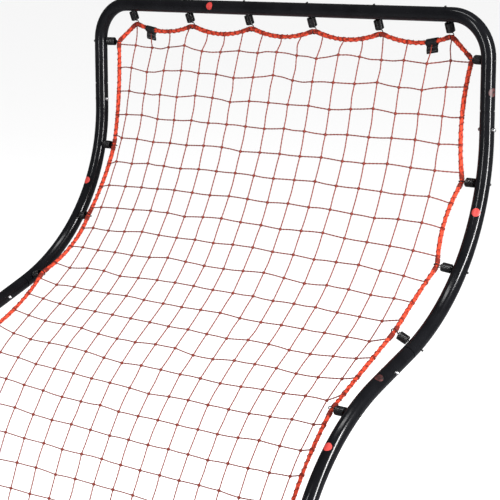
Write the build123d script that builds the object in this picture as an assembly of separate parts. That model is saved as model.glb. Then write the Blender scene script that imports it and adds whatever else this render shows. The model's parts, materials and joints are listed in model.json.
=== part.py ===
from build123d import *
import os
from math import atan2, cos, degrees, hypot, pi, radians, sin, sqrt

# A free-standing pitch back rebounder: an S-shaped frame of round steel tube holds a square-mesh
# net on a sprung edge rope, and a folding stand behind it keeps the frame upright.
# Frame of the part: origin on the ground, on the centre plane, under the axis of the bottom bar.
# +X is to the right of a player who faces the net, -Y points to that player, +Z is up.

# ---------------------------------------------------------------- driving dimensions, millimetres
FRAME_WIDTH = 1000.0         # between the axes of the two side tubes
TUBE_R = 14.0                # outside radius of every frame tube
TUBE_WALL = 1.5
CORNER_R = 80.0              # bend of the bow corners, at the tube axis
TOP_STRAIGHT = 223.0         # side: from the top bar's axis down to the first bend
BEND_R = 395.0               # side: both bends of the S
BEND_DEG = 68.0              # side: how far each bend turns
MID_STRAIGHT = 103.0         # side: between the two bends
BOTTOM_STRAIGHT = 300.0      # side: from the second bend down to the bottom bar's axis

SEAM_TOP = 174.0             # from the top bar's axis to the first seam, along the side
BUTTON_DROP = 36.0           # from a seam to its snap buttons
BUTTON_DROP_MIDDLE = 60.0    # the same at the middle seam
PLUG_PAST_BUTTON = 10.0      # length of a swaged end beyond its buttons
SWAGE_ROOT = 6.0             # length of the wall that ties a swaged end to its tube
SEAM_GAP = 2.0               # open groove between the two tubes at a seam
PLUG_CLEARANCE = 0.05        # between a swaged end and the tube it sits in

BUTTON_R = 4.0
BUTTON_PROUD = 5.0           # how far a button stands out of the outer tube
BUTTON_HOLE_R = 4.1
BUTTON_FLANGE_R = 5.2
BUTTON_FLANGE_OUT = 9.5      # outer face of the flange that keeps a button in, from the tube axis
BUTTON_FLANGE = 1.0
LEAF_THICKNESS = 0.8
LEAF_WIDTH = 8.0
LEAF_RISE = 30.0             # from the buttons to the bend of the leaf spring

SPRING_REACH = 45.0          # from a tube's axis to the rope's axis
SPRING_COIL_R = 7.5
SPRING_WIRE_R = 1.0
SPRING_COILS = 10
SPRING_PITCH = 1.9
SPRING_START = 16.0          # first coil, from the tube's axis
SPRING_HOLE_R = 1.3
SPRING_NUB_R = 2.5
SPRING_NUB = 2.5
TOP_SPRING_PITCH = 163.0
TOP_SPRING_COUNT = 6
TOP_SPRING_LEAN = 18.0       # the top rope hangs this far behind the top bar
SIDE_SPRINGS = (82.0, 311.0, 483.0, 668.0, 874.0, 1073.0, 1277.0, 1481.0)
# how far the net pulls each side spring along its tube, towards the top, counted from the first one
LEFT_SPRING_LIFTS = (-12.0, 0.0, 12.0, 16.0, -8.0, -18.0, -12.0, 0.0)
RIGHT_SPRING_LIFTS = (-12.0, 0.0, 10.0, 24.0, 0.0, -14.0, -12.0, 0.0)

ROPE_R = 4.5
WHIPPING_R = 5.3             # thread wound round the rope where it turns
TOP_SCALLOP = 14.0           # how far the rope hangs from the line of the top springs
SIDE_SCALLOP = 13.0          # how far it is drawn inwards between two side springs
TAB_X = 364.0                # webbing tabs on the top rope
TAB_WIDTH = 25.0
TAB_DROP = 22.0
TAB_PLY = 1.2
TAB_GAP = 1.0                # between the rope and the webbing, and between its two plies

NET_THICKNESS = 1.2
NET_EDGE = 68.0              # from a bar's or a side tube's axis to the edge of the net sheet
NET_CORNER = 58.0            # cut off the net's corners, beside the rope
NET_TURN = 690.0             # where the net crosses the line of the side tubes, along the side
CROWN_UPPER = 56.0           # how far the net's middle stands in front of that line
CROWN_LOWER = 80.0           # how far it stands behind it below
EDGE_CROWN_UPPER = 22.0      # the same at the net's sides
EDGE_CROWN_LOWER = 30.0

MARKER_R = 8.0               # round stickers on the tubes
MARKER_THICKNESS = 0.3
MARKER_GAP = 0.02

HEX_M8_R = 6.5               # half the width across flats
HEX_M6_R = 5.0
HEAD_M8 = 5.3
HEAD_M6 = 4.0
NUT_M8 = 8.0                 # self-locking nut
NUT_M6 = 6.0
THREAD_PAST_NUT = 2.0

STAND_PIVOT_Z = 122.0
STAND_REACH = 760.0          # from the frame's foot back to the rear bar's axis
STAND_SEAM = 520.0           # from the pivot, along the stand leg
STAND_FRONT = 25.0           # stand leg beyond its pivot
STAND_FOLD_DEG = 55.0
PLATE = 3.0                  # thickness of the quadrant plates
PLATE_MARGIN = 13.0          # plate metal around its holes
SLOT_R = 90.0                # from the pivot to the clamp stud
SLOT_SPARE_DEG = 0.6
STUD_R = 4.0                 # pivot bolts and clamp studs
RUNNING = 0.05               # radial clearance where a part turns on a shaft
WASHER = 2.0
THIN_WASHER = 1.5
WASHER_R = 8.0
BUSH_R = 6.0
QUADRANT_BOLT_RISE = 68.0    # from the pivot up to the second quadrant bolt
QUADRANT_BOLT_R = 3.0
KNOB_R = 20.0
KNOB_HEIGHT = 14.0
KNOB_LOBES = 5
KNOB_COLLAR = 5.0
KNOB_EDGE = 2.0
STUD_IN_KNOB = 14.0
STUD_PAST_NUT = 3.0
CLAMP_NUT = 6.0
CLAMP_NUT_WIDTH = 16.0
CAP_HEAD = 2.5
CAP_STEM = 12.0

PAD_R = 20.0                 # rubber pads around the bars
PAD_UNDER = 4.0              # rubber under the tube
PAD_LENGTH = 70.0
PAD_X = 330.0

# ---------------------------------------------------------------- sizes that follow
HALF_WIDTH = FRAME_WIDTH / 2
TUBE_BORE = TUBE_R - TUBE_WALL
PLUG_R = TUBE_BORE - PLUG_CLEARANCE
PLUG_BORE = PLUG_R - TUBE_WALL
BAR_Z = TUBE_R + PAD_UNDER
BEND_LENGTH = BEND_R * radians(BEND_DEG)
SEAM_MIDDLE = TOP_STRAIGHT + BEND_LENGTH
SIDE_LENGTH = TOP_STRAIGHT + 2 * BEND_LENGTH + MID_STRAIGHT + BOTTOM_STRAIGHT
SEAM_BOTTOM = SIDE_LENGTH - BOTTOM_STRAIGHT + TOP_STRAIGHT - SEAM_TOP
Y_TOP = 2 * BEND_R * (1 - cos(radians(BEND_DEG))) + MID_STRAIGHT * sin(radians(BEND_DEG))
Z_TOP = (BAR_Z + TOP_STRAIGHT + BOTTOM_STRAIGHT + 2 * BEND_R * sin(radians(BEND_DEG))
         + MID_STRAIGHT * cos(radians(BEND_DEG)))
BUTTON_TIP = TUBE_R + BUTTON_PROUD

STAND_DROP = STAND_PIVOT_Z - BAR_Z
STAND_LENGTH = hypot(STAND_REACH, STAND_DROP)
STAND_DEG = degrees(atan2(STAND_DROP, STAND_REACH))
PLATE_OUT = HALF_WIDTH + TUBE_R + PLATE
STAND_X = PLATE_OUT + WASHER + TUBE_R
STAND_OUT = STAND_X + TUBE_R

SEGMENTS = (("line", TOP_STRAIGHT), ("bend", 1), ("line", MID_STRAIGHT), ("bend", -1),
            ("line", BOTTOM_STRAIGHT))


# ---------------------------------------------------------------- the line of the side tubes
def segment_length(segment):
    kind, value = segment
    return value if kind == "line" else BEND_LENGTH


def walk(y, z, lean, segment, step):
    """Go `step` along one segment; lean is the tube's angle from the vertical, in radians."""
    kind, value = segment
    if kind == "line":
        return y - step * sin(lean), z - step * cos(lean), lean
    new_lean = lean + value * step / BEND_R
    y -= BEND_R * value * (cos(lean) - cos(new_lean))
    z -= BEND_R * value * (sin(new_lean) - sin(lean))
    return y, z, new_lean


def station(s):
    """Place and lean of the side line at distance s from the top bar's axis."""
    y, z, lean = Y_TOP, Z_TOP, 0.0
    for segment in SEGMENTS:
        step = min(s, segment_length(segment))
        y, z, lean = walk(y, z, lean, segment, step)
        s -= step
        if s <= 0:
            break
    return y, z, lean


def side_point(x, s, lift=0.0):
    """A point beside the side line; lift is measured to the front and upper side of the tube."""
    y, z, lean = station(s)
    return Vector(x, y - lift * cos(lean), z + lift * sin(lean))


def side_wire(x, s_start, s_end):
    edges = []
    begin = 0.0
    for segment in SEGMENTS:
        end = begin + segment_length(segment)
        low, high = max(begin, s_start), min(end, s_end)
        if high - low > 1e-6:
            first, last = side_point(x, low), side_point(x, high)
            if segment[0] == "line":
                edges.append(Line(first, last))
            else:
                edges.append(ThreePointArc(first, side_point(x, (low + high) / 2), last))
        begin = end
    return Wire(edges)


def side_frame(x, s):
    """Local frame on the side line: Z up the tube, X as the part's X, -Y to the front."""
    y, z, lean = station(s)
    return Location((x, y, z), (-degrees(lean), 0, 0))


# ---------------------------------------------------------------- tubes
def ring_along(path, outer, inner):
    start = Plane(origin=path @ 0, z_dir=path % 0)
    return sweep(start * (Circle(outer) - Circle(inner)), path=path)


def bow_wire(place, half_width, leg):
    """A U: two legs, two round corners and a bar; the bar's axis is local Y = 0."""
    x, r, k = half_width, CORNER_R, CORNER_R * (1 - sqrt(0.5))
    edges = [
        Line((-x, -leg), (-x, -r)),
        ThreePointArc((-x, -r), (-x + k, -k), (-x + r, 0)),
        Line((-x + r, 0), (x - r, 0)),
        ThreePointArc((x - r, 0), (x - k, -k), (x, -r)),
        Line((x, -r), (x, -leg)),
    ]
    return place * Wire(edges)


def plug(root_path, plug_path):
    """A swaged end: a reduced tube and the wall that ties it to the full tube."""
    root = ring_along(root_path, TUBE_BORE + 0.2, PLUG_BORE)
    return root + ring_along(plug_path, PLUG_R, PLUG_BORE)


def side_plug(x, seam, drop):
    end = seam + drop + PLUG_PAST_BUTTON
    return plug(side_wire(x, seam - SWAGE_ROOT, seam), side_wire(x, seam, end))


def side_button_holes(x, seam, drop):
    return side_frame(x, seam + drop) * Rot(0, 90, 0) * Cylinder(BUTTON_HOLE_R, 4 * TUBE_R)


def bar_places(count, pitch):
    return [(i - (count - 1) / 2) * pitch for i in range(count)]


def spring_ends():
    """For every spring: name of its node, tube point, rope point and direction of the rope."""
    ends = {"top_springs": [], "bottom_springs": [], "left_side_springs": [],
            "right_side_springs": []}
    rise = sqrt(SPRING_REACH ** 2 - TOP_SPRING_LEAN ** 2)
    for x in bar_places(TOP_SPRING_COUNT, TOP_SPRING_PITCH):
        tube = Vector(x, Y_TOP, Z_TOP)
        ends["top_springs"].append((tube, tube + Vector(0, TOP_SPRING_LEAN, -rise), Vector(1, 0, 0)))
        tube = Vector(x, 0, BAR_Z)
        ends["bottom_springs"].append((tube, tube + Vector(0, 0, SPRING_REACH), Vector(1, 0, 0)))
    sides = (("left_side_springs", -1, LEFT_SPRING_LIFTS), ("right_side_springs", 1, RIGHT_SPRING_LIFTS))
    for name, side, lifts in sides:
        for s, lift in zip(SIDE_SPRINGS, lifts):
            tube = side_point(side * HALF_WIDTH, s)
            inwards = sqrt(SPRING_REACH ** 2 - lift ** 2)
            rope = side_point(side * (HALF_WIDTH - inwards), s, lift)
            lean = station(s)[2]
            ends[name].append((tube, rope, Vector(0, sin(lean), cos(lean))))
    return ends


SPRING_ENDS = spring_ends()


def spring_frame(tube, rope, along):
    """Z from the tube to the rope, Y along the rope."""
    z_dir = (rope - tube).normalized()
    return Plane(origin=tube, x_dir=along.cross(z_dir), z_dir=z_dir).location


def spring_holes(names):
    cutter = Cylinder(SPRING_HOLE_R, 4 * TUBE_R)
    return [spring_frame(*ends) * cutter for name in names for ends in SPRING_ENDS[name]]


ALL_SPRING_HOLES = spring_holes(SPRING_ENDS)


def near(tube, cutters):
    """Only the cutters whose centre lies inside the tube's box."""
    box = tube.bounding_box()
    spare = TUBE_R
    kept = []
    for cutter in cutters:
        c = cutter.center()
        inside = all(low - spare < value < high + spare for low, value, high in (
            (box.min.X, c.X, box.max.X), (box.min.Y, c.Y, box.max.Y), (box.min.Z, c.Z, box.max.Z)))
        if inside:
            kept.append(cutter)
    return kept


def drilled(tube, cutters):
    for cutter in near(tube, cutters):
        tube = tube - cutter
    return tube


def top_bow():
    place = Plane(origin=(0, Y_TOP, Z_TOP), x_dir=(1, 0, 0), z_dir=(0, -1, 0)).location
    bow = ring_along(bow_wire(place, HALF_WIDTH, SEAM_TOP), TUBE_R, TUBE_BORE)
    for x in (-HALF_WIDTH, HALF_WIDTH):
        bow = bow + side_plug(x, SEAM_TOP, BUTTON_DROP)
        bow = bow - side_button_holes(x, SEAM_TOP, BUTTON_DROP)
    return drilled(bow, ALL_SPRING_HOLES)


def upper_side_tube(x):
    tube = ring_along(side_wire(x, SEAM_TOP + SEAM_GAP, SEAM_MIDDLE), TUBE_R, TUBE_BORE)
    tube = tube + side_plug(x, SEAM_MIDDLE, BUTTON_DROP_MIDDLE)
    tube = tube - side_button_holes(x, SEAM_TOP, BUTTON_DROP)
    tube = tube - side_button_holes(x, SEAM_MIDDLE, BUTTON_DROP_MIDDLE)
    return drilled(tube, ALL_SPRING_HOLES)


def lower_side_tube(x):
    tube = ring_along(side_wire(x, SEAM_MIDDLE + SEAM_GAP, SEAM_BOTTOM), TUBE_R, TUBE_BORE)
    tube = tube + side_plug(x, SEAM_BOTTOM, BUTTON_DROP)
    tube = tube - side_button_holes(x, SEAM_MIDDLE, BUTTON_DROP_MIDDLE)
    tube = tube - side_button_holes(x, SEAM_BOTTOM, BUTTON_DROP)
    return drilled(tube, ALL_SPRING_HOLES)


def bottom_bow():
    place = Plane(origin=(0, 0, BAR_Z), x_dir=(-1, 0, 0), z_dir=(0, -1, 0)).location
    leg = SIDE_LENGTH - SEAM_BOTTOM - SEAM_GAP
    bow = ring_along(bow_wire(place, HALF_WIDTH, leg), TUBE_R, TUBE_BORE)
    for x in (-HALF_WIDTH, HALF_WIDTH):
        bow = bow - side_button_holes(x, SEAM_BOTTOM, BUTTON_DROP)
        bow = bow - across(x, STUD_R + RUNNING, 4 * TUBE_R, 0, STAND_PIVOT_Z)
        bow = bow - across(x, QUADRANT_BOLT_R + RUNNING, 4 * TUBE_R, 0,
                           STAND_PIVOT_Z + QUADRANT_BOLT_RISE)
    return drilled(bow, ALL_SPRING_HOLES)


# ---------------------------------------------------------------- parts that lie across, along X
def across(x, radius, length, y, z):
    """A round bar along X, centred on x."""
    return Pos(x, y, z) * Rot(0, 90, 0) * Cylinder(radius, length)


def between(x_low, x_high, radius, y, z, bore=0.0):
    """A round bar or ring along X, from x_low to x_high."""
    middle, length = (x_low + x_high) / 2, abs(x_high - x_low)
    bar = across(middle, radius, length, y, z)
    if bore:
        bar = bar - across(middle, bore, 2 * length, y, z)
    return bar


def hexagon(x_low, x_high, flat_r, y, z, bore=0.0):
    blank = extrude(Plane.YZ.offset(x_low) * Pos(y, z) * RegularPolygon(flat_r, 6, major_radius=False),
                    amount=x_high - x_low)
    if bore:
        blank = blank - across((x_low + x_high) / 2, bore, 4 * (x_high - x_low), y, z)
    return blank


def both_sides(part):
    return [part, part.mirror(Plane.YZ)]


def on_side(part, side):
    return part if side > 0 else part.mirror(Plane.YZ)


# ---------------------------------------------------------------- snap buttons
def button(frame, direction):
    """A domed pin that stands out of both tubes, with a flange that keeps it inside."""
    skirt_top = BUTTON_TIP - BUTTON_R
    flange_in = BUTTON_FLANGE_OUT - BUTTON_FLANGE
    outline = [
        Line((0, flange_in), (BUTTON_FLANGE_R, flange_in)),
        Line((BUTTON_FLANGE_R, flange_in), (BUTTON_FLANGE_R, BUTTON_FLANGE_OUT)),
        Line((BUTTON_FLANGE_R, BUTTON_FLANGE_OUT), (BUTTON_R, BUTTON_FLANGE_OUT)),
        Line((BUTTON_R, BUTTON_FLANGE_OUT), (BUTTON_R, skirt_top)),
        ThreePointArc((BUTTON_R, skirt_top),
                      (BUTTON_R * sqrt(0.5), skirt_top + BUTTON_R * sqrt(0.5)), (0, BUTTON_TIP)),
        Line((0, BUTTON_TIP), (0, flange_in)),
    ]
    pin = revolve(Plane.XZ * make_face(Wire(outline)), Axis.Z)
    return frame * Rot(0, 90 * direction, 0) * pin


def leaf_spring(frame):
    """A bent strip whose two arms push a pair of buttons apart."""
    arm = BUTTON_FLANGE_OUT - BUTTON_FLANGE - RUNNING
    foot = BUTTON_FLANGE_R
    top = LEAF_RISE
    inner_arm = arm - LEAF_THICKNESS
    bend, inner_bend = arm / 2, arm / 2 - LEAF_THICKNESS
    outline = [
        Line((-arm, -foot), (-inner_arm, -foot)),
        Line((-inner_arm, -foot), (-inner_arm, foot)),
        Line((-inner_arm, foot), (-inner_bend, top)),
        ThreePointArc((-inner_bend, top), (0, top + inner_bend), (inner_bend, top)),
        Line((inner_bend, top), (inner_arm, foot)),
        Line((inner_arm, foot), (inner_arm, -foot)),
        Line((inner_arm, -foot), (arm, -foot)),
        Line((arm, -foot), (arm, foot)),
        Line((arm, foot), (bend, top)),
        ThreePointArc((bend, top), (0, top + bend), (-bend, top)),
        Line((-bend, top), (-arm, foot)),
        Line((-arm, foot), (-arm, -foot)),
    ]
    return frame * extrude(Plane.XZ * make_face(Wire(outline)), amount=LEAF_WIDTH / 2, both=True)


SEAMS = {
    "top": SEAM_TOP + BUTTON_DROP,
    "middle": SEAM_MIDDLE + BUTTON_DROP_MIDDLE,
    "bottom": SEAM_BOTTOM + BUTTON_DROP,
}


def stand_frame(x, reach):
    """Local frame on a stand leg: Z along the leg to the front."""
    slope = radians(STAND_DEG)
    place = (x, reach * cos(slope), STAND_PIVOT_Z - reach * sin(slope))
    return Location(place, (90 - STAND_DEG, 0, 0))


def button_frames():
    frames = {}
    for side_name, side in (("left", -1), ("right", 1)):
        for seam, s in SEAMS.items():
            frames[seam, side_name] = side_frame(side * HALF_WIDTH, s)
        frames["stand", side_name] = stand_frame(side * STAND_X, STAND_SEAM + BUTTON_DROP)
    return frames


# ---------------------------------------------------------------- springs
def coil_outline():
    """Half section of a close-wound coil: a row of touching round wires."""
    r, half = SPRING_WIRE_R, SPRING_PITCH / 2
    waist = sqrt(r ** 2 - half ** 2)
    centres = [SPRING_START + r + i * SPRING_PITCH for i in range(SPRING_COILS)]
    edges = []
    for z in centres:
        edges.append(ThreePointArc((SPRING_COIL_R + waist, z - half), (SPRING_COIL_R + r, z),
                                   (SPRING_COIL_R + waist, z + half)))
        edges.append(ThreePointArc((SPRING_COIL_R - waist, z - half), (SPRING_COIL_R - r, z),
                                   (SPRING_COIL_R - waist, z + half)))
    for z in (centres[0] - half, centres[-1] + half):
        edges.append(Line((SPRING_COIL_R - waist, z), (SPRING_COIL_R + waist, z)))
    return Wire.combine(edges)[0]


def spring():
    """One extension spring: nub, tail through the tube, coil, and a hook round the rope."""
    coil = revolve(Plane.XZ * make_face(coil_outline()), Axis.Z)
    first = SPRING_START + SPRING_WIRE_R
    last = first + (SPRING_COILS - 1) * SPRING_PITCH
    nub_z = -TUBE_R - SPRING_NUB / 2 - 0.5
    tail = Pos(0, 0, (first + nub_z) / 2) * Cylinder(SPRING_WIRE_R, first - nub_z)
    nub = Pos(0, 0, nub_z) * Cylinder(SPRING_NUB_R, SPRING_NUB)
    hook_r = SPRING_REACH - last - 1.2
    spoke = Pos(SPRING_COIL_R / 2, 0, 0) * Rot(0, 90, 0) * Cylinder(SPRING_WIRE_R, SPRING_COIL_R)
    arc = CenterArc((0, 0), hook_r, -90, 300)
    hook_path = Plane(origin=(0, 0, SPRING_REACH), x_dir=(1, 0, 0), z_dir=(0, -1, 0)).location * arc
    hook = sweep(Plane(origin=hook_path @ 0, z_dir=hook_path % 0) * Circle(SPRING_WIRE_R),
                 path=hook_path)
    body = coil + tail + nub + Pos(0, 0, first) * spoke + Pos(0, 0, last) * spoke
    return body + Pos(0, 0, last + 0.6) * Cylinder(SPRING_WIRE_R, 2.2) + hook


# ---------------------------------------------------------------- rope, tabs and net
def rope_points():
    """Turns of the closed edge rope: one at each spring hook and one midway, drawn in by the net."""
    runs = (
        ([ends[1] for ends in SPRING_ENDS["top_springs"]], Vector(0, 0, -TOP_SCALLOP)),
        ([ends[1] for ends in SPRING_ENDS["right_side_springs"]], Vector(-SIDE_SCALLOP, 0, 0)),
        ([ends[1] for ends in reversed(SPRING_ENDS["bottom_springs"])], Vector(0, 0, TOP_SCALLOP)),
        ([ends[1] for ends in reversed(SPRING_ENDS["left_side_springs"])], Vector(SIDE_SCALLOP, 0, 0)),
    )
    points = []
    for hooks, drawn in runs:
        points.append(hooks[0])
        for here, there in zip(hooks, hooks[1:]):
            points += [(here + there) / 2 + drawn, there]
    return points


def bar_between(first, last, radius):
    along = last - first
    place = Plane(origin=(first + last) / 2, z_dir=along.normalized()).location
    return place * Cylinder(radius, along.length)


def edge_rope():
    """A closed loop of straight lengths with a round whipping at every turn."""
    points = rope_points()
    rope = Pos(*points[0]) * Sphere(WHIPPING_R)
    for here, there in zip(points, points[1:] + points[:1]):
        rope = rope + bar_between(here, there, ROPE_R)
        if there is not points[0]:
            rope = rope + Pos(*there) * Sphere(WHIPPING_R)
    return rope


def rope_tab():
    """A strip of webbing folded over the top rope and sewn below it, on the right side."""
    points = rope_points()
    here, there = next(pair for pair in zip(points, points[1:]) if pair[1].X > TAB_X)
    along = (there - here).normalized()
    centre = here + along * ((TAB_X - here.X) / along.X)
    inner = ROPE_R + TAB_GAP
    loop = Circle(inner + TAB_PLY) + Pos(0, -TAB_DROP / 2) * Rectangle(2 * TAB_PLY + TAB_GAP, TAB_DROP)
    strip = extrude(loop - Circle(inner), amount=TAB_WIDTH / 2, both=True)
    place = Plane(origin=centre, x_dir=Vector(0, 0, 1).cross(along), z_dir=along)
    return place.location * strip


def crown(s, upper, lower):
    """How far the net stands to the front of the side line at distance s from the top bar."""
    low, high = NET_EDGE, SIDE_LENGTH - NET_EDGE
    if s < NET_TURN:
        return upper * sin(pi * (s - low) / (NET_TURN - low))
    return -lower * sin(pi * (s - NET_TURN) / (high - NET_TURN))


def net_section(x):
    """The net sheet's closed outline in one plane across X."""
    across_part = abs(x) / (HALF_WIDTH - NET_EDGE)
    corner = NET_CORNER * max(0.0, across_part - 0.9) / 0.1
    start, end = NET_EDGE + corner, SIDE_LENGTH - NET_EDGE - corner
    share = 1 - across_part ** 2
    upper = EDGE_CROWN_UPPER + (CROWN_UPPER - EDGE_CROWN_UPPER) * share
    lower = EDGE_CROWN_LOWER + (CROWN_LOWER - EDGE_CROWN_LOWER) * share
    front, back = [], []
    count = 24
    for i in range(count + 1):
        s = start + (end - start) * i / count
        lift = crown(s, upper, lower) - TOP_SPRING_LEAN * max(0.0, 1 - s / SEAM_TOP)
        front.append(side_point(x, s, lift + NET_THICKNESS / 2))
        back.append(side_point(x, s, lift - NET_THICKNESS / 2))
    outline = Wire([Spline(*front), Line(front[-1], back[-1]), Spline(*reversed(back)),
                    Line(back[0], front[0])])
    return Face(outline)


def net():
    edge = HALF_WIDTH - NET_EDGE
    places = [edge * part for part in (-1, -0.9, -0.6, -0.3, 0, 0.3, 0.6, 0.9, 1)]
    return Solid.make_loft([net_section(x).outer_wire() for x in places], ruled=True)


# ---------------------------------------------------------------- stickers
def marker_disc(frame, turn_deg):
    """A cutter that leaves a round patch, turned from the tube's front towards +X."""
    return frame * Rot(0, 0, turn_deg) * Pos(0, -TUBE_R, 0) * Rot(90, 0, 0) * Cylinder(MARKER_R, TUBE_R)


def marker(path, frame, turn_deg):
    """A round sticker bent round a tube."""
    inner = TUBE_R + MARKER_GAP
    return ring_along(path, inner + MARKER_THICKNESS, inner) & marker_disc(frame, turn_deg)


def side_marker(side, s, turn_deg):
    x = side * HALF_WIDTH
    path = side_wire(x, s - 2 * MARKER_R, s + 2 * MARKER_R)
    return marker(path, side_frame(x, s), turn_deg)


def bar_marker(x, turn_deg):
    """A sticker on the top bar, turned from its front towards the top."""
    path = Wire([Line((x - 2 * MARKER_R, Y_TOP, Z_TOP), (x + 2 * MARKER_R, Y_TOP, Z_TOP))])
    frame = Plane(origin=(x, Y_TOP, Z_TOP), x_dir=(0, 0, 1), z_dir=(-1, 0, 0)).location
    return marker(path, frame, turn_deg)


def bright_markers():
    return [bar_marker(-170, 12), side_marker(-1, 400, -5), side_marker(1, 368, 18),
            side_marker(-1, 955, 0), side_marker(1, 955, 0)]


# ---------------------------------------------------------------- stand
def stand_wire(x, near_end, far_end):
    frame_near, frame_far = stand_frame(x, near_end), stand_frame(x, far_end)
    return Wire([Line(frame_near.position, frame_far.position)])


def stand_hole(x, reach):
    """A cross hole for snap buttons or for the clamp stud."""
    return stand_frame(x, reach) * Rot(0, 90, 0) * Cylinder(BUTTON_HOLE_R, 4 * TUBE_R)


def stand_leg(side):
    x = side * STAND_X
    end = STAND_SEAM + BUTTON_DROP + PLUG_PAST_BUTTON
    leg = ring_along(stand_wire(x, -STAND_FRONT, STAND_SEAM), TUBE_R, TUBE_BORE)
    leg = leg + plug(stand_wire(x, STAND_SEAM - SWAGE_ROOT, STAND_SEAM), stand_wire(x, STAND_SEAM, end))
    leg = leg - stand_hole(x, STAND_SEAM + BUTTON_DROP)
    leg = leg - across(x, BUSH_R, 4 * TUBE_R, 0, STAND_PIVOT_Z)
    return leg - stand_hole(x, SLOT_R)


def rear_bow():
    slope = radians(STAND_DEG)
    bar = (0, STAND_LENGTH * cos(slope), STAND_PIVOT_Z - STAND_LENGTH * sin(slope))
    place = Plane(origin=bar, x_dir=(1, 0, 0), z_dir=(0, sin(slope), cos(slope))).location
    leg = STAND_LENGTH - STAND_SEAM - SEAM_GAP
    bow = ring_along(bow_wire(place, STAND_X, leg), TUBE_R, TUBE_BORE)
    for x in (-STAND_X, STAND_X):
        bow = bow - stand_hole(x, STAND_SEAM + BUTTON_DROP)
    return bow


def stand_cap(side):
    """A plastic plug in the open front end of a stand leg."""
    head = Pos(0, 0, STAND_FRONT + CAP_HEAD / 2) * Cylinder(TUBE_R, CAP_HEAD)
    stem = Pos(0, 0, STAND_FRONT - CAP_STEM / 2) * Cylinder(TUBE_BORE - PLUG_CLEARANCE, CAP_STEM)
    return stand_frame(side * STAND_X, 0) * (head + stem)


def quadrant(side):
    """A flat plate on the frame's foot: pivot hole, bolt hole and the curved slot of the clamp."""
    top = QUADRANT_BOLT_RISE + PLATE_MARGIN
    strap = Pos(0, top / 2 - PLATE_MARGIN / 2) * SlotOverall(top + PLATE_MARGIN, 2 * PLATE_MARGIN,
                                                             rotation=90)
    low = -STAND_DEG - SLOT_SPARE_DEG
    sweep_deg = STAND_FOLD_DEG + 2 * SLOT_SPARE_DEG
    radius = SLOT_R + PLATE_MARGIN
    spare = degrees(PLATE_MARGIN / SLOT_R)
    rim = CenterArc((0, 0), radius, low - spare, sweep_deg + 2 * spare)
    sector = make_face(Wire([Line((0, 0), rim @ 0), rim, Line(rim @ 1, (0, 0))]))
    slot = SlotArc(CenterArc((0, 0), SLOT_R, low, sweep_deg), 2 * (STUD_R + 0.2))
    web = make_face(Wire([Line((0, 0), (0, QUADRANT_BOLT_RISE)),
                          Line((0, QUADRANT_BOLT_RISE), rim @ 1), Line(rim @ 1, (0, 0))]))
    holes = Circle(STUD_R + RUNNING) + Pos(0, QUADRANT_BOLT_RISE) * Circle(QUADRANT_BOLT_R + RUNNING)
    outline = Circle(PLATE_MARGIN) + strap + sector + web - slot - holes
    plate = extrude(Plane.YZ.offset(HALF_WIDTH + TUBE_R) * Pos(0, STAND_PIVOT_Z) * outline, amount=PLATE)
    return on_side(plate, side)


def pivot_bolt():
    inside = HALF_WIDTH - TUBE_R - THIN_WASHER - NUT_M8 - THREAD_PAST_NUT
    outside = STAND_OUT + THIN_WASHER
    shank = between(inside, outside, STUD_R, 0, STAND_PIVOT_Z)
    return shank + hexagon(outside, outside + HEAD_M8, HEX_M8_R, 0, STAND_PIVOT_Z)


def pivot_nut():
    inside = HALF_WIDTH - TUBE_R - THIN_WASHER
    return hexagon(inside - NUT_M8, inside, HEX_M8_R, 0, STAND_PIVOT_Z, bore=STUD_R)


def pivot_washers():
    inner, outer = HALF_WIDTH - TUBE_R, STAND_OUT
    bore = STUD_R + 0.2
    return [
        between(inner - THIN_WASHER, inner, WASHER_R, 0, STAND_PIVOT_Z, bore),
        between(PLATE_OUT, PLATE_OUT + WASHER, WASHER_R, 0, STAND_PIVOT_Z, bore),
        between(outer, outer + THIN_WASHER, WASHER_R, 0, STAND_PIVOT_Z, bore),
    ]


def pivot_bush():
    return between(PLATE_OUT + WASHER, STAND_OUT, BUSH_R, 0, STAND_PIVOT_Z, STUD_R + RUNNING)


def quadrant_bolt():
    z = STAND_PIVOT_Z + QUADRANT_BOLT_RISE
    inside = HALF_WIDTH - TUBE_R - NUT_M6 - THREAD_PAST_NUT
    shank = between(inside, PLATE_OUT, QUADRANT_BOLT_R, 0, z)
    return shank + hexagon(PLATE_OUT, PLATE_OUT + HEAD_M6, HEX_M6_R, 0, z)


def quadrant_nut():
    z = STAND_PIVOT_Z + QUADRANT_BOLT_RISE
    inside = HALF_WIDTH - TUBE_R
    return hexagon(inside - NUT_M6, inside, HEX_M6_R, 0, z, bore=QUADRANT_BOLT_R)


def clamp_centre():
    place = stand_frame(STAND_X, SLOT_R).position
    return place.Y, place.Z


def clamp_nut():
    """A square nut behind the quadrant plate."""
    y, z = clamp_centre()
    outer_face = HALF_WIDTH + TUBE_R - 2 * RUNNING
    block = Box(CLAMP_NUT, CLAMP_NUT_WIDTH, CLAMP_NUT_WIDTH)
    block = Pos(outer_face - CLAMP_NUT / 2, y, z) * Rot(-STAND_DEG, 0, 0) * block
    return block - across(outer_face, STUD_R + RUNNING, 4 * CLAMP_NUT, y, z)


def clamp_washers():
    y, z = clamp_centre()
    bore = STUD_R + 0.2
    return [between(PLATE_OUT, PLATE_OUT + WASHER, WASHER_R, y, z, bore),
            between(STAND_OUT, STAND_OUT + THIN_WASHER, WASHER_R, y, z, bore)]


def clamp_stud():
    y, z = clamp_centre()
    inside = HALF_WIDTH + TUBE_R - CLAMP_NUT - STUD_PAST_NUT
    return between(inside, STAND_OUT + THIN_WASHER + STUD_IN_KNOB, STUD_R, y, z)


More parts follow.
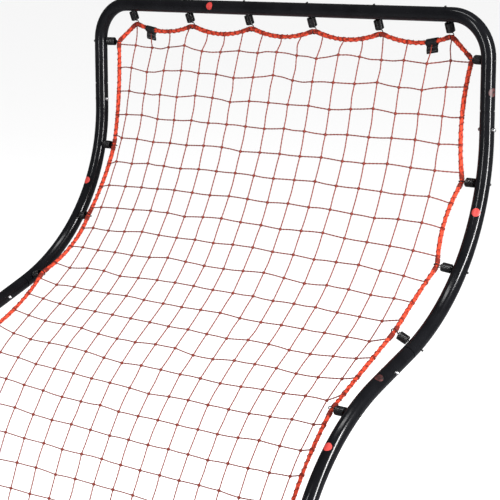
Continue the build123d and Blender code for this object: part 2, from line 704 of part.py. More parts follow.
def clamp_knob():
    """A moulded star knob with a collar, fast on the clamp stud."""
    y, z = clamp_centre()
    star = Circle(0.72 * KNOB_R)
    for i in range(KNOB_LOBES):
        lobe = Pos(0.66 * KNOB_R, 0) * Circle(0.34 * KNOB_R)
        star = star + Rot(0, 0, 360 * i / KNOB_LOBES) * lobe
    head = extrude(star, amount=KNOB_HEIGHT)
    head = fillet(head.faces().sort_by(Axis.Z)[-1].outer_wire().edges(), KNOB_EDGE)
    collar = Pos(0, 0, -KNOB_COLLAR / 2) * Cylinder(KNOB_R / 2, KNOB_COLLAR)
    depth = STUD_IN_KNOB - 2 * RUNNING
    socket = Pos(0, 0, depth / 2 - KNOB_COLLAR) * Cylinder(STUD_R, depth)
    base = STAND_OUT + THIN_WASHER + 2 * RUNNING + KNOB_COLLAR
    return Pos(base, y, z) * Rot(0, 90, 0) * (head + collar - socket)


# ---------------------------------------------------------------- feet
def pad(x, y):
    """A rubber sleeve on a bar, cut flat where it stands on the ground."""
    sleeve = between(x - PAD_LENGTH / 2, x + PAD_LENGTH / 2, PAD_R, y, BAR_Z, TUBE_R + 0.02)
    block = Pos(x, y, -PAD_R) * Box(2 * PAD_LENGTH, 4 * PAD_R, 2 * PAD_R)
    return sleeve - block


# ---------------------------------------------------------------- write the nodes
def solids_of(shape):
    if isinstance(shape, (list, tuple)):
        return [solid for item in shape for solid in solids_of(item)]
    return list(shape.solids())


def write(name, shape):
    solids = solids_of(shape)
    node = solids[0] if len(solids) == 1 else Compound(children=solids)
    node.label = name
    export_step(node, f"parts/{name}.step")


def tube_nodes():
    write("top_bow", top_bow())
    write("bottom_bow", bottom_bow())
    for side_name, side in (("left", -1), ("right", 1)):
        write(f"upper_side_tube_{side_name}", upper_side_tube(side * HALF_WIDTH))
        write(f"lower_side_tube_{side_name}", lower_side_tube(side * HALF_WIDTH))


def button_nodes():
    frames = button_frames()
    for (seam, side_name), frame in frames.items():
        outwards = 1 if side_name == "right" else -1
        write(f"{seam}_button_{side_name}_outer", button(frame, outwards))
        write(f"{seam}_button_{side_name}_inner", button(frame, -outwards))
    write("frame_button_springs", [leaf_spring(f) for key, f in frames.items() if key[0] != "stand"])
    write("stand_button_springs", [leaf_spring(f) for key, f in frames.items() if key[0] == "stand"])


def net_nodes():
    one_spring = spring()
    for name, ends in SPRING_ENDS.items():
        write(name, [spring_frame(*end) * one_spring for end in ends])
    write("edge_rope", edge_rope())
    write("net", net())
    write("rope_tab_left", rope_tab().mirror(Plane.YZ))
    write("rope_tab_right", rope_tab())
    write("tube_markers", bright_markers())
    write("worn_markers", [side_marker(1, 140, 70), side_marker(1, 790, 20)])


def stand_nodes():
    write("rear_bow", rear_bow())
    write("stand_leg_caps", [stand_cap(side) for side in (-1, 1)])
    write("pivot_bolts", both_sides(pivot_bolt()))
    write("pivot_nuts", both_sides(pivot_nut()))
    write("pivot_washers", [both_sides(washer) for washer in pivot_washers()])
    write("pivot_bushes", both_sides(pivot_bush()))
    write("quadrant_bolts", both_sides(quadrant_bolt()))
    write("quadrant_nuts", both_sides(quadrant_nut()))
    write("clamp_nuts", both_sides(clamp_nut()))
    write("clamp_washers", [both_sides(washer) for washer in clamp_washers()])
    for side_name, side in (("left", -1), ("right", 1)):
        write(f"stand_leg_{side_name}", stand_leg(side))
        write(f"stand_quadrant_{side_name}", quadrant(side))
        write(f"clamp_stud_{side_name}", on_side(clamp_stud(), side))
        write(f"clamp_knob_{side_name}", on_side(clamp_knob(), side))
    write("front_foot_pads", [pad(x, 0) for x in (-PAD_X, 0, PAD_X)])
    write("rear_foot_pads", [pad(x, STAND_REACH) for x in (-PAD_X, PAD_X)])


os.makedirs("parts", exist_ok=True)
tube_nodes()
button_nodes()
net_nodes()
stand_nodes()
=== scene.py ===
import json
from math import cos, pi, radians, sin, sqrt

import bpy
import numpy as np
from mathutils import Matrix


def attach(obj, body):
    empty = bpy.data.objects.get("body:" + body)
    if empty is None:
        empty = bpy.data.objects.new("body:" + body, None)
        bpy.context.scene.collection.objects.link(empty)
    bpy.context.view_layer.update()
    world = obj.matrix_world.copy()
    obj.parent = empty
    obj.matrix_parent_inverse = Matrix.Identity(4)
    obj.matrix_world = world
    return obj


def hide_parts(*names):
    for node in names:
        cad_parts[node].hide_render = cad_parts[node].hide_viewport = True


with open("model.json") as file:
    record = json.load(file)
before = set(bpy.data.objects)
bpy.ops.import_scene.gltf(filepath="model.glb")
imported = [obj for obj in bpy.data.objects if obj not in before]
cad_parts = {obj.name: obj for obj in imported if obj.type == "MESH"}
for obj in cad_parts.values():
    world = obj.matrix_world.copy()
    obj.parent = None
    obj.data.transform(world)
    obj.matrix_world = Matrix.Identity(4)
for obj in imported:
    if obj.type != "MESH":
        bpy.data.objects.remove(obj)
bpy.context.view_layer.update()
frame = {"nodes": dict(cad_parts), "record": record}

# A pitch back rebounder. The tubes, plates, knobs, bolts, buttons and pads are the CAD pieces;
# the knotted net, braided rope, coil springs and webbing tabs are built here, in metres.
SEED = 12

# ------------------------------------------------------------ line of the side tubes, in metres
HALF_WIDTH = 0.5
TUBE_R = 0.014
TOP_STRAIGHT, MID_STRAIGHT, BOTTOM_STRAIGHT = 0.223, 0.103, 0.300
BEND_R, BEND = 0.395, radians(68)
BAR_Z = 0.018
BEND_LENGTH = BEND_R * BEND
SIDE_LENGTH = TOP_STRAIGHT + 2 * BEND_LENGTH + MID_STRAIGHT + BOTTOM_STRAIGHT
Y_TOP = 2 * BEND_R * (1 - cos(BEND)) + MID_STRAIGHT * sin(BEND)
Z_TOP = (BAR_Z + TOP_STRAIGHT + BOTTOM_STRAIGHT + 2 * BEND_R * sin(BEND) + MID_STRAIGHT * cos(BEND))

STEPS = np.linspace(0, SIDE_LENGTH, 6001)
BREAKS = np.cumsum([0, TOP_STRAIGHT, BEND_LENGTH, MID_STRAIGHT, BEND_LENGTH, BOTTOM_STRAIGHT])
LEAN = np.interp(STEPS, BREAKS, [0, 0, BEND, BEND, 0, 0])


def running_sum(slope):
    middle = (slope[1:] + slope[:-1]) / 2 * np.diff(STEPS)
    return np.concatenate([[0], np.cumsum(middle)])


LINE_Y = Y_TOP - running_sum(np.sin(LEAN))
LINE_Z = Z_TOP - running_sum(np.cos(LEAN))


def side_points(x, s, lift=0.0):
    """Points beside the side line; lift is to the front and upper side of the tube."""
    lean = np.interp(s, STEPS, LEAN)
    y = np.interp(s, STEPS, LINE_Y) - lift * np.cos(lean)
    z = np.interp(s, STEPS, LINE_Z) + lift * np.sin(lean)
    return np.stack(np.broadcast_arrays(x, y, z), -1).astype(float)


# ------------------------------------------------------------ springs: where they sit
SPRING_REACH = 0.045
TOP_LEAN = 0.018
BAR_SPRINGS = [(i - 2.5) * 0.163 for i in range(6)]
SIDE_SPRINGS = [0.082, 0.311, 0.483, 0.668, 0.874, 1.073, 1.277, 1.481]
SIDE_LIFTS = {-1: [-0.012, 0.0, 0.012, 0.016, -0.008, -0.018, -0.012, 0.0],
              1: [-0.012, 0.0, 0.010, 0.024, 0.0, -0.014, -0.012, 0.0]}
TOP_RISE = sqrt(SPRING_REACH ** 2 - TOP_LEAN ** 2)
ROPE_Y, ROPE_TOP_Z = Y_TOP + TOP_LEAN, Z_TOP - TOP_RISE
ROPE_BOTTOM_Z = BAR_Z + SPRING_REACH


def side_hook(side, s, lift):
    inwards = sqrt(SPRING_REACH ** 2 - lift ** 2)
    return side_points(side * (HALF_WIDTH - inwards), s, lift)


def side_hooks(side):
    return [side_hook(side, s, lift) for s, lift in zip(SIDE_SPRINGS, SIDE_LIFTS[side])]


# ------------------------------------------------------------ the net's surface
CELL = 0.051
COLUMNS = 17
NET_TURN = 0.690
FIRST_ROW = 0.090
LAST_ROW = 1.472


def wave(s, start, end, height):
    return height * np.sin(pi * np.clip((s - start) / (end - start), 0, 1))


def net_lift(x, s):
    """How far the net stands to the front of the side line: most at the middle column."""
    middle = wave(s, 0.090, NET_TURN, 0.056) - wave(s, NET_TURN, 1.480, 0.080)
    edge = wave(s, 0.150, NET_TURN, 0.028) - wave(s, NET_TURN, 1.480, 0.042)
    edge = edge - 0.018 * np.clip((0.150 - s) / 0.060, 0, 1)
    return edge + (middle - edge) * (1 - (x / 0.460) ** 2)


def row_stations():
    """Rows one cell apart, measured along the net's own surface."""
    s = np.linspace(FIRST_ROW, LAST_ROW, 4000)
    x = HALF_WIDTH / 2
    line = side_points(x, s, net_lift(x, s))
    length = np.concatenate([[0], np.cumsum(np.linalg.norm(np.diff(line, axis=0), axis=1))])
    count = int(length[-1] / CELL)
    return np.interp(np.linspace(0, count * CELL, count + 1), length, s)


ROWS = row_stations()
COLUMN_X = (np.arange(COLUMNS) - (COLUMNS - 1) / 2) * CELL


# ------------------------------------------------------------ rope
SIDE_SCALLOP = 0.010
TOP_SCALLOP = 0.015
ROPE_R = 0.0045
SPAN_STEPS = 40


def span(here, there, drawn):
    """A rope span between two hooks, drawn aside by the net in a parabola."""
    t = np.linspace(0, 1, SPAN_STEPS, endpoint=False)[:, None]
    return here * (1 - t) + there * t + drawn * 4 * t * (1 - t)


def rope_run(hooks, drawn):
    spans = [span(a, b, d) for a, b, d in zip(hooks, hooks[1:], drawn)]
    return np.concatenate(spans + [hooks[-1][None]])


def bar_run(y, z, scallop):
    hooks = [np.array([x, y, z]) for x in BAR_SPRINGS]
    return rope_run(hooks, [np.array([0, 0, scallop])] * (len(hooks) - 1))


def side_run(side):
    lifts = SIDE_LIFTS[side]
    hooks = side_hooks(side)
    drawn = []
    for i in range(len(hooks) - 1):
        s = (SIDE_SPRINGS[i] + SIDE_SPRINGS[i + 1]) / 2
        lean = np.interp(s, STEPS, LEAN)
        pull = (net_lift(0.43, s) - (lifts[i] + lifts[i + 1]) / 2) * 0.5
        chord = side_points(0, s) - (side_points(0, SIDE_SPRINGS[i]) + side_points(0, SIDE_SPRINGS[i + 1])) / 2
        drawn.append(np.array([-side * SIDE_SCALLOP, -pull * cos(lean), pull * sin(lean)]) + chord)
    return rope_run(hooks, drawn)


TOP_RUN = bar_run(ROPE_Y, ROPE_TOP_Z, -TOP_SCALLOP)
BOTTOM_RUN = bar_run(0.0, ROPE_BOTTOM_Z, 0.014)
SIDE_RUNS = {-1: side_run(-1), 1: side_run(1)}


def corner(a, b):
    t = np.linspace(0, 1, 12)[1:-1, None]
    return a * (1 - t) + b * t


def rope_line():
    left, right = SIDE_RUNS[-1], SIDE_RUNS[1]
    return np.concatenate([
        TOP_RUN, corner(TOP_RUN[-1], right[0]), right, corner(right[-1], BOTTOM_RUN[-1]),
        BOTTOM_RUN[::-1], corner(BOTTOM_RUN[0], left[-1]), left[::-1], corner(left[0], TOP_RUN[0])])


def smooth_closed(points, rounds):
    for _ in range(rounds):
        points = (np.roll(points, 1, 0) + 2 * points + np.roll(points, -1, 0)) / 4
    return points


def resample(points, step, closed=False):
    if closed:
        points = np.concatenate([points, points[:1]])
    length = np.concatenate([[0], np.cumsum(np.linalg.norm(np.diff(points, axis=0), axis=1))])
    count = max(2, int(round(length[-1] / step)))
    at = np.linspace(0, length[-1], count + 1)
    out = np.stack([np.interp(at, length, points[:, k]) for k in range(3)], -1)
    return out[:-1] if closed else out


ROPE = resample(smooth_closed(resample(rope_line(), 0.003, closed=True), 4), 0.001, closed=True)
ROPE_LENGTH = 0.001 * len(ROPE)


def rope_at_x(run, x):
    order = np.argsort(run[:, 0])
    return np.array([np.interp(x, run[order, 0], run[order, k]) for k in range(3)])


def rope_beside(side, point):
    """The place on the rope level with a point of the net, looking along X."""
    run = SIDE_RUNS[side]
    nearest = np.argmin(np.linalg.norm(run[:, 1:] - point[1:], axis=1))
    return run[nearest]


# ------------------------------------------------------------ swept cords
def unit(v):
    return v / np.linalg.norm(v, axis=-1, keepdims=True)


def transported(points, closed):
    """Tangents and a pair of normals that turn as little as possible along a path."""
    if closed:
        tangents = unit(np.roll(points, -1, 0) - np.roll(points, 1, 0))
    else:
        tangents = unit(np.gradient(points, axis=0))
    start = np.array([0.0, 0.0, 1.0]) if abs(tangents[0, 2]) < 0.8 else np.array([1.0, 0.0, 0.0])
    normal = unit(start - tangents[0] * (start @ tangents[0]))
    normals = np.empty_like(points)
    for i, t in enumerate(tangents):
        normal = normal - t * (normal @ t)
        normal = normal / sqrt(normal @ normal)
        normals[i] = normal
    return normals, np.cross(tangents, normals)


class Cords:
    """Collects round cords into one mesh, with the strand pattern kept at each vertex."""

    def __init__(self):
        self.verts, self.faces, self.strand = [], [], []
        self.count = 0

    def add(self, points, sides, profile, closed=False):
        points = np.asarray(points, float)
        n = len(points)
        normals, binormals = transported(points, closed)
        step = np.linalg.norm(np.diff(points, axis=0), axis=1)
        s = np.concatenate([[0], np.cumsum(step)])[:, None]
        phi = (np.arange(sides) * 2 * pi / sides)[None, :]
        radius, strand = profile(s, phi)
        radius = np.broadcast_to(radius, (n, sides))[..., None]
        ring = normals[:, None] * np.cos(phi)[..., None] + binormals[:, None] * np.sin(phi)[..., None]
        self.verts.append((points[:, None] + ring * radius).reshape(-1, 3))
        self.strand.append(np.broadcast_to(strand, (n, sides)).reshape(-1))
        index = self.count + np.arange(n * sides).reshape(n, sides)
        here, there = (index, np.roll(index, -1, 0)) if closed else (index[:-1], index[1:])
        quads = np.stack([here, np.roll(here, -1, 1), np.roll(there, -1, 1), there], -1)
        self.faces += quads.reshape(-1, 4).tolist()
        if not closed:
            self.faces += [index[0][::-1].tolist(), index[-1].tolist()]
        self.count += n * sides

    def build(self, name, material):
        return add_mesh(name, np.concatenate(self.verts), self.faces, material,
                        np.concatenate(self.strand))


def add_mesh(name, verts, faces, material, strand=None, body="frame"):
    mesh = bpy.data.meshes.new(name)
    mesh.from_pydata(verts.tolist(), [], faces)
    mesh.polygons.foreach_set("use_smooth", [True] * len(mesh.polygons))
    if strand is not None:
        values = mesh.attributes.new("strand", "FLOAT", "POINT")
        values.data.foreach_set("value", strand.astype(np.float32))
    mesh.materials.append(material)
    obj = bpy.data.objects.new(name, mesh)
    bpy.context.scene.collection.objects.link(obj)
    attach(obj, body)
    return obj


def plain_wire(radius):
    return lambda s, phi: (radius + 0 * s + 0 * phi, 0.5 + 0 * s + 0 * phi)


def twisted(radius, plies, pitch):
    def profile(s, phi):
        ply = np.cos(plies * phi + 2 * pi * s / pitch)
        # the strand value follows the ply bulge, so the valleys between plies take the painted shade of the cord
        # material
        return radius * (1 + 0.14 * ply), 0.5 + 0.5 * ply
    return profile


# ------------------------------------------------------------ materials
def new_material(name):
    material = bpy.data.materials.new(name)
    material.use_nodes = True
    return material, material.node_tree.nodes, material.node_tree.links


def noise(nodes, links, scale, detail=3.0):
    place = nodes.new("ShaderNodeTexCoord")
    texture = nodes.new("ShaderNodeTexNoise")
    texture.inputs["Scale"].default_value = scale
    texture.inputs["Detail"].default_value = detail
    links.new(place.outputs["Object"], texture.inputs["Vector"])
    return texture.outputs["Fac"]


def ramp(nodes, links, source, low, high, start=0.3, end=0.7):
    node = nodes.new("ShaderNodeValToRGB")
    node.color_ramp.elements[0].position, node.color_ramp.elements[1].position = start, end
    node.color_ramp.elements[0].color, node.color_ramp.elements[1].color = (*low, 1), (*high, 1)
    links.new(source, node.inputs["Fac"])
    return node.outputs["Color"]


def rough_range(nodes, links, source, low, high, target):
    node = nodes.new("ShaderNodeMapRange")
    node.inputs["To Min"].default_value, node.inputs["To Max"].default_value = low, high
    links.new(source, node.inputs["Value"])
    links.new(node.outputs["Result"], target)


def bump(nodes, links, source, strength, distance, target):
    node = nodes.new("ShaderNodeBump")
    node.inputs["Strength"].default_value, node.inputs["Distance"].default_value = strength, distance
    links.new(source, node.inputs["Height"])
    links.new(node.outputs["Normal"], target)


def finish_material(name, low, high, rough, metal=0.0, grain=60.0, relief=0.05, specular=0.5):
    """A finish with a slight mottle in its colour, roughness and surface."""
    material, nodes, links = new_material(name)
    shader = nodes["Principled BSDF"]
    mottle = noise(nodes, links, grain)
    links.new(ramp(nodes, links, mottle, low, high), shader.inputs["Base Color"])
    rough_range(nodes, links, mottle, rough[0], rough[1], shader.inputs["Roughness"])
    bump(nodes, links, noise(nodes, links, grain * 12), relief, 0.0003, shader.inputs["Normal"])
    shader.inputs["Metallic"].default_value = metal
    shader.inputs["Specular IOR Level"].default_value = specular
    return material


def cord_material(name, dark_strand_and_valley_shade, crest, rough=0.75):
    """Twisted or braided fibre: the strand pattern sets its colour, fine fuzz its surface. On twisted cord the
    dark end of the ramp is painted shade in the valleys between plies; on the braid it follows the crossing
    pattern of the strands.
    """
    material, nodes, links = new_material(name)
    shader = nodes["Principled BSDF"]
    strand = nodes.new("ShaderNodeAttribute")
    strand.attribute_name = "strand"
    # dark end: painted shade in the ply valleys of twisted cord, and the crossing pattern on the braid
    colour = ramp(nodes, links, strand.outputs["Fac"], dark_strand_and_valley_shade, crest, 0.15, 0.8)
    links.new(colour, shader.inputs["Base Color"])
    shader.inputs["Roughness"].default_value = rough
    shader.inputs["Specular IOR Level"].default_value = 0.25
    bump(nodes, links, noise(nodes, links, 1800), 0.5, 0.0004, shader.inputs["Normal"])
    return material


def webbing_material():
    """Flat woven tape: fine ribs along and across."""
    material, nodes, links = new_material("webbing")
    shader = nodes["Principled BSDF"]
    shader.inputs["Base Color"].default_value = (0.005, 0.005, 0.006, 1)
    shader.inputs["Roughness"].default_value = 0.6
    shader.inputs["Specular IOR Level"].default_value = 0.3
    place = nodes.new("ShaderNodeTexCoord")
    ribs = nodes.new("ShaderNodeTexWave")
    ribs.inputs["Scale"].default_value = 260.0
    links.new(place.outputs["Object"], ribs.inputs["Vector"])
    bump(nodes, links, ribs.outputs["Fac"], 0.8, 0.0006, shader.inputs["Normal"])
    return material


MATERIALS = {
    "black_tube": finish_material("black_tube", (0.0025, 0.0026, 0.0032), (0.0045, 0.0046, 0.0055),
                                  (0.13, 0.18), grain=25, relief=0.02, specular=0.22),
    "black_plate": finish_material("black_plate", (0.012, 0.012, 0.014), (0.02, 0.02, 0.022),
                                   (0.3, 0.42), grain=40, relief=0.15),
    "black_plastic": finish_material("black_plastic", (0.018, 0.018, 0.018), (0.03, 0.03, 0.03),
                                     (0.45, 0.6), grain=90, relief=0.35),
    "black_spring": finish_material("black_spring", (0.003, 0.003, 0.003), (0.007, 0.007, 0.008),
                                    (0.22, 0.35), grain=70, relief=0.1, specular=0.4),
    "spring_steel": finish_material("spring_steel", (0.4, 0.4, 0.42), (0.55, 0.55, 0.57),
                                    (0.25, 0.4), metal=1.0),
    "button_steel": finish_material("button_steel", (0.42, 0.42, 0.43), (0.6, 0.6, 0.6),
                                    (0.22, 0.35), metal=1.0),
    "zinc": finish_material("zinc", (0.55, 0.55, 0.52), (0.72, 0.71, 0.68), (0.28, 0.45),
                            metal=1.0, grain=120, relief=0.1),
    "red_marker": finish_material("red_marker", (0.30, 0.016, 0.014), (0.40, 0.030, 0.024),
                                  (0.35, 0.5), grain=50),
    "worn_marker": finish_material("worn_marker", (0.006, 0.004, 0.004), (0.07, 0.012, 0.012),
                                   (0.35, 0.5), grain=160),
    "nylon": finish_material("nylon", (0.75, 0.75, 0.72), (0.85, 0.85, 0.82), (0.4, 0.5)),
    "rubber_pad": finish_material("rubber_pad", (0.014, 0.014, 0.014), (0.028, 0.028, 0.027),
                                  (0.6, 0.8), grain=130, relief=0.5),
    "red_rope": cord_material("red_rope", (0.06, 0.004, 0.002), (0.42, 0.032, 0.009)),
    "red_net": cord_material("red_net", (0.05, 0.007, 0.005), (0.22, 0.028, 0.016)),
    "webbing": webbing_material(),
}
THREAD = cord_material("binding_thread", (0.04, 0.003, 0.002), (0.22, 0.016, 0.006))
STITCH = finish_material("stitch_thread", (0.05, 0.05, 0.05), (0.09, 0.09, 0.09), (0.6, 0.7))


def dress_cad():
    """Every CAD piece takes the finish of its slot, with soft shading on round faces."""
    for entry in frame["record"]["subparts"]:
        obj = frame["nodes"][entry["node"]]
        obj.data.materials.clear()
        obj.data.materials.append(MATERIALS[entry["material_slot"]])
        obj.data.polygons.foreach_set("use_smooth", [True] * len(obj.data.polygons))
        obj.data.set_sharp_from_angle(angle=radians(32))


# ------------------------------------------------------------ net
TWINE_R = 0.00125
KNOT_R = 0.0022


def sway(x, s, rng_phase):
    """Small uneven pull of the twine, strongest in the slack rows at the top."""
    slack = 0.0012 + 0.0022 * np.exp(-(s - FIRST_ROW) / 0.12)
    a = np.sin(31 * x + 17 * s + rng_phase[0]) + np.sin(-23 * x + 41 * s + rng_phase[1])
    b = np.sin(27 * x - 19 * s + rng_phase[2]) + np.sin(45 * x + 29 * s + rng_phase[3])
    return slack * a, slack * b


def net_nodes(rng):
    phase = rng.uniform(0, 2 * pi, 4)
    x, s = np.meshgrid(COLUMN_X, ROWS)
    dx, ds = sway(x, s, phase)
    jitter = rng.normal(0, 0.0005, (2,) + x.shape)
    x, s = x + dx + jitter[0], s + ds + jitter[1]
    return side_points(x, s, net_lift(x, s) + 1.5 * dx)


def slack_line(points, rng, looseness):
    """A twine through its knots, bowed a little between them, every 2 mm."""
    here, there = points[:-1], points[1:]
    bow = rng.normal(0, 1, here.shape) * np.asarray(looseness)[:, None]
    t = np.linspace(0, 1, 9)[:-1]
    line = [a * (1 - u) + b * u + c * sin(pi * u) ** 2
            for a, b, c in zip(here, there, bow) for u in t]
    return resample(np.array(line + [points[-1]]), 0.002)


def torus_path(centre, axis, radius, turns=1.0, rise=0.0, steps=12):
    """A loop or short helix round an axis."""
    axis = unit(np.asarray(axis, float))
    side = unit(np.cross(axis, [0.31, 0.87, 0.38]))
    other = np.cross(axis, side)
    count = int(steps * turns)
    t = np.arange(count if rise == 0 else count + 1) / steps
    angle = (2 * pi * t)[:, None]
    lift = axis * ((t / turns - 0.5) * rise)[:, None] if rise else 0
    return centre + radius * (side * np.cos(angle) + other * np.sin(angle)) + lift


def build_net():
    rng = np.random.default_rng(SEED)
    nodes = net_nodes(rng)
    twine, ties = Cords(), Cords()
    strand = twisted(TWINE_R, 2, 0.008)
    row_count = len(ROWS)
    ends = []
    for c in range(COLUMNS):
        top = rope_at_x(TOP_RUN, nodes[0, c, 0])
        bottom = rope_at_x(BOTTOM_RUN, nodes[-1, c, 0])
        line = np.concatenate([[top], nodes[:, c], [bottom]])
        loose = 0.0004 + 0.0016 * np.exp(-np.arange(row_count + 1) / 1.5)
        twine.add(slack_line(line, rng, loose), 6, strand)
        ends += [top, bottom]
    for r in range(row_count):
        left = rope_beside(-1, nodes[r, 0])
        right = rope_beside(1, nodes[r, -1])
        line = np.concatenate([[left], nodes[r], [right]])
        loose = np.full(COLUMNS + 1, 0.0004 + 0.0008 * np.exp(-r / 2))
        twine.add(slack_line(line, rng, loose), 6, strand)
        ends += [left, right]
    for r in range(row_count):
        for c in range(COLUMNS):
            up = nodes[max(r - 1, 0), c] - nodes[min(r + 1, row_count - 1), c]
            across = nodes[r, min(c + 1, COLUMNS - 1)] - nodes[r, max(c - 1, 0)]
            up, across = unit(up), unit(across)
            for mix in (1, -1):
                loop = torus_path(nodes[r, c], up + mix * across, KNOT_R, steps=10)
                twine.add(loop, 6, plain_wire(TWINE_R * 1.05), closed=True)
    for end in ends:
        nearest = np.argmin(np.linalg.norm(ROPE - end, axis=1))
        along = ROPE[(nearest + 4) % len(ROPE)] - ROPE[nearest - 4]
        helix = torus_path(ROPE[nearest], along, ROPE_R * 0.92, turns=2, rise=0.004, steps=14)
        ties.add(helix, 6, plain_wire(0.0009))
    net = twine.build("knotted_net", MATERIALS["red_net"])
    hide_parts("net")
    ties.build("net_ties", THREAD)


# ------------------------------------------------------------ rope and its bindings
def rope_fullness(s):
    """The rope is fuller along the top than low on the sides, where it is drawn tight."""
    return 0.80 + 0.12 * np.cos(2 * pi * (s - 0.4) / ROPE_LENGTH)


def lacing():
    """Twine wound along the whole rope, which ties the net's border to it."""
    normals, binormals = transported(ROPE, True)
    s = (np.arange(len(ROPE)) * 0.001)[:, None]
    turns = round(ROPE_LENGTH / 0.013)
    angle = 2 * pi * turns * s / ROPE_LENGTH + 0.5 * np.sin(s * 33)
    radius = ROPE_R * rope_fullness(s) + 0.0005
    return ROPE + radius * (normals * np.cos(angle) + binormals * np.sin(angle))


def braid(s, phi):
    """Two sets of strands that cross; the rope is fuller along the top than low on the sides."""
    a = np.cos(3 * phi + 2 * pi * s / 0.021)
    b = np.cos(3 * phi - 2 * pi * s / 0.021)
    fullness = rope_fullness(s)
    uneven = 1 + 0.06 * np.sin(s * 41) + 0.05 * np.sin(s * 97 + 1)
    radius = ROPE_R * fullness * uneven * (1 + 0.10 * np.maximum(a, b))
    return radius, 0.62 + 0.38 * np.tanh(1.6 * (a - b) + 1.2)


def spring_hooks():
    hooks = [np.array([x, ROPE_Y, ROPE_TOP_Z]) for x in BAR_SPRINGS]
    hooks += [np.array([x, 0, ROPE_BOTTOM_Z]) for x in BAR_SPRINGS]
    for side in (-1, 1):
        hooks += side_hooks(side)
    return hooks


def build_rope():
    rope, binding = Cords(), Cords()
    rope.add(ROPE, 24, braid, closed=True)
    binding.add(lacing(), 6, twisted(0.0007, 2, 0.006), closed=True)
    for hook in spring_hooks():
        nearest = np.argmin(np.linalg.norm(ROPE - hook, axis=1))
        for shift in (-9, 9):
            centre = ROPE[(nearest + shift) % len(ROPE)]
            along = ROPE[(nearest + shift + 5) % len(ROPE)] - ROPE[(nearest + shift - 5) % len(ROPE)]
            helix = torus_path(centre, along, ROPE_R * 0.95, turns=5, rise=0.009, steps=14)
            binding.add(helix, 6, plain_wire(0.0009))
    obj = rope.build("braided_rope", MATERIALS["red_rope"])
    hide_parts("edge_rope")
    binding.build("rope_bindings", THREAD)


# ------------------------------------------------------------ coil springs
WIRE_R = 0.001
COIL_R = 0.0080
COIL_START = 0.0165
COIL_PITCH = 0.0021
COIL_TURNS = 9
HOOK_R = 0.0068


def spring_line():
    """Nub, straight tail through the tube, close coil, and the hook round the rope."""
    tail = [(0, 0, z) for z in np.linspace(-0.0172, 0.013, 12)]
    turn = np.linspace(0, 2 * pi * COIL_TURNS, 16 * COIL_TURNS + 1)
    coil = np.stack([COIL_R * np.cos(turn), COIL_R * np.sin(turn), COIL_START + COIL_PITCH * turn / (2 * pi)], -1)
    end = COIL_START + COIL_PITCH * COIL_TURNS
    lead_in = [(0.003, -0.001, COIL_START - 0.002), (0.006, -0.002, COIL_START - 0.0008)]
    lead_out = [(0.006, 0.002, end + 0.0009), (0.002, 0.001, end + 0.0014)]
    angle = np.radians(np.linspace(-90, 205, 30))
    hook = np.stack([HOOK_R * np.cos(angle), 0 * angle, SPRING_REACH + HOOK_R * np.sin(angle)], -1)
    return resample(np.concatenate([tail, lead_in, coil, lead_out, hook]), 0.0016)


def spring_wire(s, phi):
    nub = np.where(s < 0.0026, 0.0023, WIRE_R)
    return nub + 0 * phi, 0.5 + 0 * s + 0 * phi


def build_springs(name, tubes, hooks, directions):
    line = spring_line()
    cords = Cords()
    for tube, hook, along in zip(tubes, hooks, directions):
        z_dir = unit(hook - tube)
        x_dir = unit(np.cross(along, z_dir))
        y_dir = np.cross(z_dir, x_dir)
        placed = tube + line[:, :1] * x_dir + line[:, 1:2] * y_dir + line[:, 2:] * z_dir
        cords.add(placed, 8, spring_wire)
    obj = cords.build(name + "_coiled", MATERIALS["black_spring"])
    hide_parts(name)


def build_all_springs():
    x_axis = np.array([1.0, 0.0, 0.0])
    tops = [np.array([x, Y_TOP, Z_TOP]) for x in BAR_SPRINGS]
    build_springs("top_springs", tops, [np.array([x, ROPE_Y, ROPE_TOP_Z]) for x in BAR_SPRINGS],
                  [x_axis] * len(tops))
    feet = [np.array([x, 0, BAR_Z]) for x in BAR_SPRINGS]
    build_springs("bottom_springs", feet, [np.array([x, 0, ROPE_BOTTOM_Z]) for x in BAR_SPRINGS],
                  [x_axis] * len(feet))
    for side, name in ((-1, "left_side_springs"), (1, "right_side_springs")):
        tubes = [side_points(side * HALF_WIDTH, s) for s in SIDE_SPRINGS]
        hooks = side_hooks(side)
        leans = np.interp(SIDE_SPRINGS, STEPS, LEAN)
        build_springs(name, tubes, hooks, [np.array([0, sin(a), cos(a)]) for a in leans])


# ------------------------------------------------------------ webbing tabs
TAB_X = 0.364
TAB_WIDTH = 0.025
TAB_DROP = 0.022


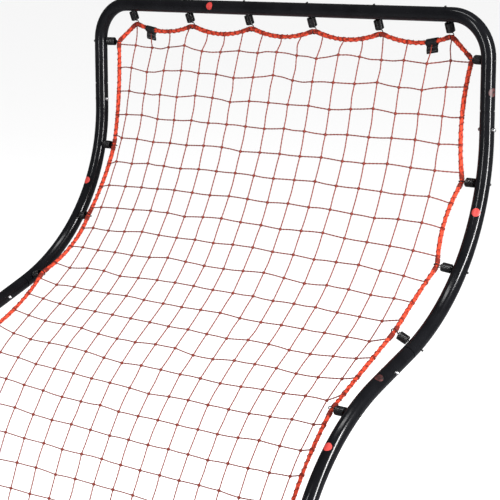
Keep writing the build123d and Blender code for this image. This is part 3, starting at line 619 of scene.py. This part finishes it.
def build_tab(side, node):
    """A strip folded over the rope, its two plies sewn together under it."""
    centre = rope_at_x(TOP_RUN, side * TAB_X)
    beside = rope_at_x(TOP_RUN, side * TAB_X + 0.004)
    along = unit(beside - centre)
    down = np.array([0, 0, -1.0])
    out = np.cross(along, down)
    radius = ROPE_R + 0.0016
    arc = np.radians(np.linspace(-35, 215, 26))
    outline = [(radius * cos(a), -radius * sin(a)) for a in arc]
    ply = np.linspace(0.35, 1, 8) * TAB_DROP
    front = [(0.0011 + 0.0009 * sin(9 * d / TAB_DROP), d) for d in ply[::-1]]
    back = [(-0.0011 + 0.0006 * sin(7 * d / TAB_DROP), d) for d in ply]
    outline = np.array(front + outline + back)
    across = np.linspace(-TAB_WIDTH / 2, TAB_WIDTH / 2, 9)
    verts = np.array([centre + along * a + out * (o + 0.0008 * sin(3 * pi * a / TAB_WIDTH) * d / TAB_DROP)
                      + down * d for a in across for o, d in outline])
    n = len(outline)
    faces = [[k * n + i, k * n + i + 1, (k + 1) * n + i + 1, (k + 1) * n + i]
             for k in range(len(across) - 1) for i in range(n - 1)]
    obj = add_mesh(node + "_webbing", verts, faces, MATERIALS["webbing"])
    thickness = obj.modifiers.new("thickness", "SOLIDIFY")
    thickness.thickness = 0.0012
    thickness.offset = 0
    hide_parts(node)
    stitches = Cords()
    for drop in (0.011, 0.018):
        for a in np.linspace(-0.010, 0.010, 6):
            for face in (0.0030, -0.0030):
                start = centre + along * (a - 0.0012) + out * face + down * drop
                stitches.add([start, start + along * 0.0024], 6, plain_wire(0.0005))
    stitches.build(node + "_stitches", STITCH)


# ------------------------------------------------------------ floor, light and camera
def area_light(name, place, aim, size, power, colour=(1, 1, 1)):
    data = bpy.data.lights.new(name, "AREA")
    data.shape, data.size, data.size_y = "RECTANGLE", size[0], size[1]
    data.energy, data.color = power, colour
    obj = bpy.data.objects.new(name, data)
    bpy.context.scene.collection.objects.link(obj)
    obj.location = place
    toward = np.array(aim) - np.array(place)
    flat = sqrt(toward[0] ** 2 + toward[1] ** 2)
    obj.rotation_euler = (pi / 2 + np.arctan2(toward[2], flat), 0, np.arctan2(-toward[0], toward[1]))
    return obj


def build_stage():
    half = 80.0
    verts = np.array([(-half, -half, 0), (half, -half, 0), (half, half, 0), (-half, half, 0)])
    mesh = bpy.data.meshes.new("floor")
    mesh.from_pydata(verts.tolist(), [], [[0, 1, 2, 3]])
    material, nodes, links = new_material("floor")
    # The floor is painted dark (0.16) for glossy rays only. This is painted shade on its reflection in the black
    # tubes; camera and diffuse rays see it pale (0.93).
    glossy_ray_for_painted_shade = nodes.new("ShaderNodeLightPath").outputs["Is Glossy Ray"]
    floor_paint_with_painted_reflection_shade = ramp(nodes, links, glossy_ray_for_painted_shade, (0.93, 0.93, 0.93), (0.16, 0.16, 0.17))
    links.new(floor_paint_with_painted_reflection_shade, nodes["Principled BSDF"].inputs["Base Color"])
    nodes["Principled BSDF"].inputs["Roughness"].default_value = 0.9
    mesh.materials.append(material)
    floor = bpy.data.objects.new("floor", mesh)
    bpy.context.scene.collection.objects.link(floor)
    key = area_light("key_light", (3.6, -0.1, 1.9), (0.4, 0.1, 1.0), (0.30, 3.0), 320)
    fill = area_light("fill_light", (-0.3, -3.6, 2.0), (0.2, 0.2, 0.9), (0.22, 2.6), 80)
    top = area_light("top_light", (0.0, -0.6, 4.4), (0, 0.4, 0.9), (2.4, 0.4), 40)
    world = bpy.data.worlds.new("studio")
    world.use_nodes = True
    nodes, links = world.node_tree.nodes, world.node_tree.links
    nodes["Background"].inputs["Color"].default_value = (1.0, 1.0, 1.0, 1)
    path = nodes.new("ShaderNodeLightPath")
    rough_range(nodes, links, path.outputs["Is Glossy Ray"], 1.08, 0.10,
                nodes["Background"].inputs["Strength"])
    bpy.context.scene.world = world
    bpy.context.scene.view_settings.view_transform = "Standard"


def build_camera():
    data = bpy.data.cameras.new("camera")
    data.sensor_width, data.lens = 36.0, 119.7
    obj = bpy.data.objects.new("camera", data)
    bpy.context.scene.collection.objects.link(obj)
    obj.location = (2.1226, Y_TOP - 2.6506, Z_TOP + 0.1289)
    obj.rotation_euler = (radians(90 - 10.42), 0, radians(39.61))
    bpy.context.scene.camera = obj


dress_cad()
build_rope()
build_net()
build_all_springs()
build_tab(-1, "rope_tab_left")
build_tab(1, "rope_tab_right")
build_stage()
build_camera()
